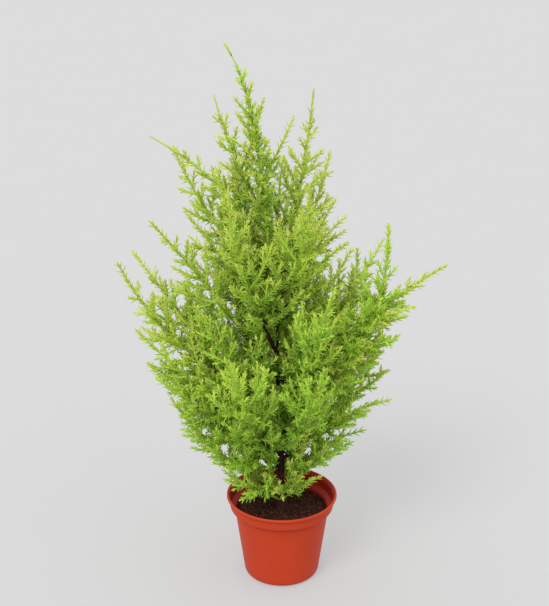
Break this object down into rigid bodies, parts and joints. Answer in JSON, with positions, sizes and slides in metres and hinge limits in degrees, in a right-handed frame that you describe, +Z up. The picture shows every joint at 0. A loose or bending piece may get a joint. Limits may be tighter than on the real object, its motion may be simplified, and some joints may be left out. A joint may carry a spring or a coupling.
{
  "type": "potted young lemon cypress",
  "caption": "Young lemon cypress with upright feathery lime-green foliage, standing in a round tapered plastic nursery pot filled with dark compost.",
  "frame": {"origin": "centre of the pot's flat underside", "axes": "+Z up along the trunk; -Y towards the plant's front; +X to the right as seen from the front"},
  "size_m": [0.3303, 0.2744, 0.5856],
  "materials": {
    "pot": "satin",
    "soil": "matte",
    "bark": "matte",
    "foliage": "matte"
  },
  "bodies": {
    "root": {"pot": "pot", "soil": "soil", "trunk": "bark", "bough_mid_left": "bark", "bough_long_left": "bark", "bough_far_left": "bark", "bough_mid_right": "bark", "bough_near_right": "bark", "bough_whip_right": "bark", "foliage_top_left": "foliage", "foliage_shoot_left": "foliage", "foliage_whip_left": "foliage", "foliage_high_left": "foliage", "foliage_upper_left": "foliage", "foliage_shoulder_left": "foliage", "foliage_behind_left": "foliage", "foliage_mid_left": "foliage", "foliage_long_left": "foliage", "foliage_far_left": "foliage", "foliage_belly_left": "foliage", "foliage_fore_left": "foliage", "foliage_low_left": "foliage", "foliage_lower_left": "foliage", "foliage_under_left": "foliage", "foliage_skirt_left": "foliage", "foliage_rim_left": "foliage", "foliage_droop_left": "foliage", "foliage_drip_left": "foliage", "foliage_peak_right": "foliage", "foliage_top_right": "foliage", "foliage_high_right": "foliage", "foliage_upper_right": "foliage", "foliage_shoulder_right": "foliage", "foliage_behind_right": "foliage", "foliage_inner_right": "foliage", "foliage_step_right": "foliage", "foliage_mid_right": "foliage", "foliage_near_right": "foliage", "foliage_whip_right": "foliage", "foliage_belly_right": "foliage", "foliage_edge_right": "foliage", "foliage_low_right": "foliage", "foliage_lower_right": "foliage", "foliage_foot_right": "foliage", "foliage_skirt_right": "foliage", "foliage_foot_front": "foliage", "foliage_spray_front": "foliage", "foliage_front_left": "foliage", "foliage_front_mid": "foliage", "foliage_front_right": "foliage", "foliage_front_high_left": "foliage", "foliage_front_high_right": "foliage", "foliage_back_low_left": "foliage", "foliage_back_low_right": "foliage", "foliage_back_mid_left": "foliage", "foliage_back_mid_right": "foliage", "foliage_back_high_left": "foliage", "foliage_back_high_right": "foliage", "foliage_leader": "foliage"}
  },
  "joints": []
}
